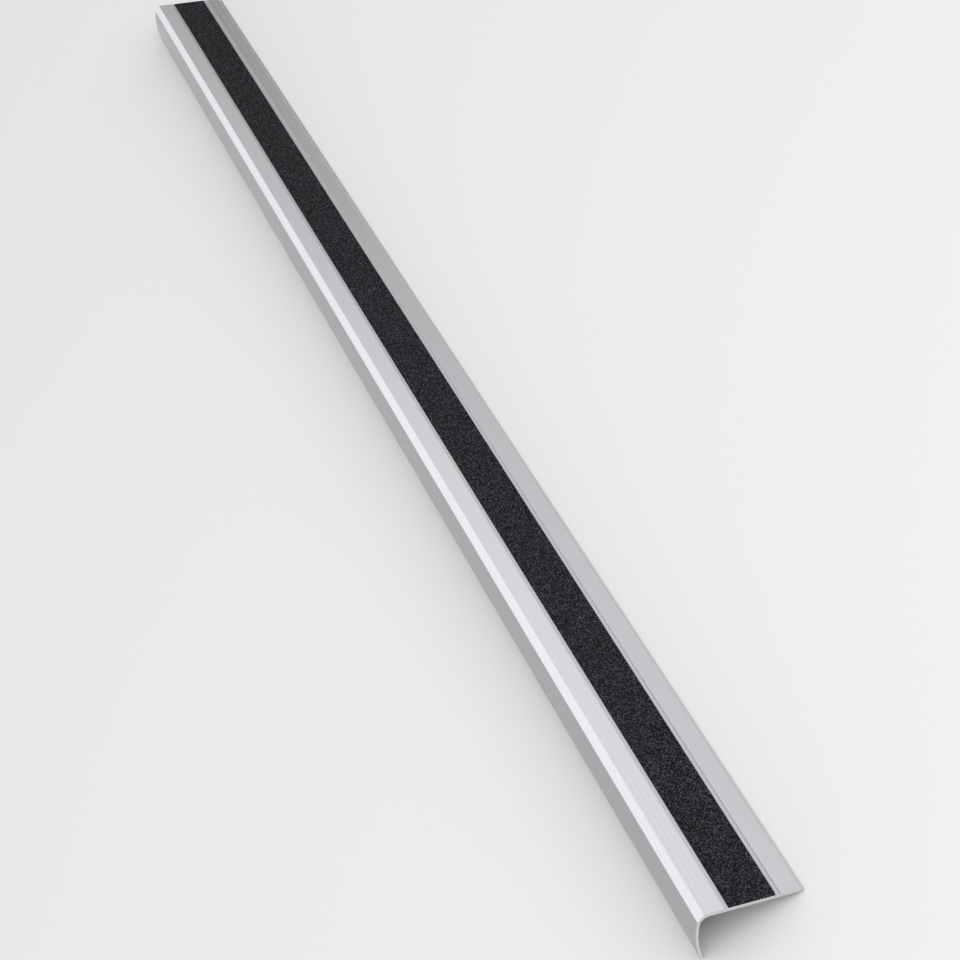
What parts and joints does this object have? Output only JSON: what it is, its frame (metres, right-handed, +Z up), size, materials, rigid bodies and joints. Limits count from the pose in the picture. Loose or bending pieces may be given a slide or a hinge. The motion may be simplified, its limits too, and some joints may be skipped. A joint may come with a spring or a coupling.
{
  "type": "stair nosing",
  "caption": "Straight aluminium stair nosing: a tread flat with a black grit strip set in it, a chamfered nose, a bowed riser leg and a ramped back edge.",
  "frame": {"origin": "on the floor, under the middle of the footprint", "axes": "+X along the length, -Y the side that the riser leg faces, +Z up; the part lies nose up on the tip of its riser leg and its back edge"},
  "size_m": [1, 0.0572, 0.0278],
  "materials": {
    "aluminium": "satin anodised, faint die lines along the length",
    "grit": "coarse black mineral grit in resin on a film"
  },
  "bodies": {
    "root": {"nosing_profile": "aluminium", "grip_strip": "grit"}
  },
  "joints": []
}
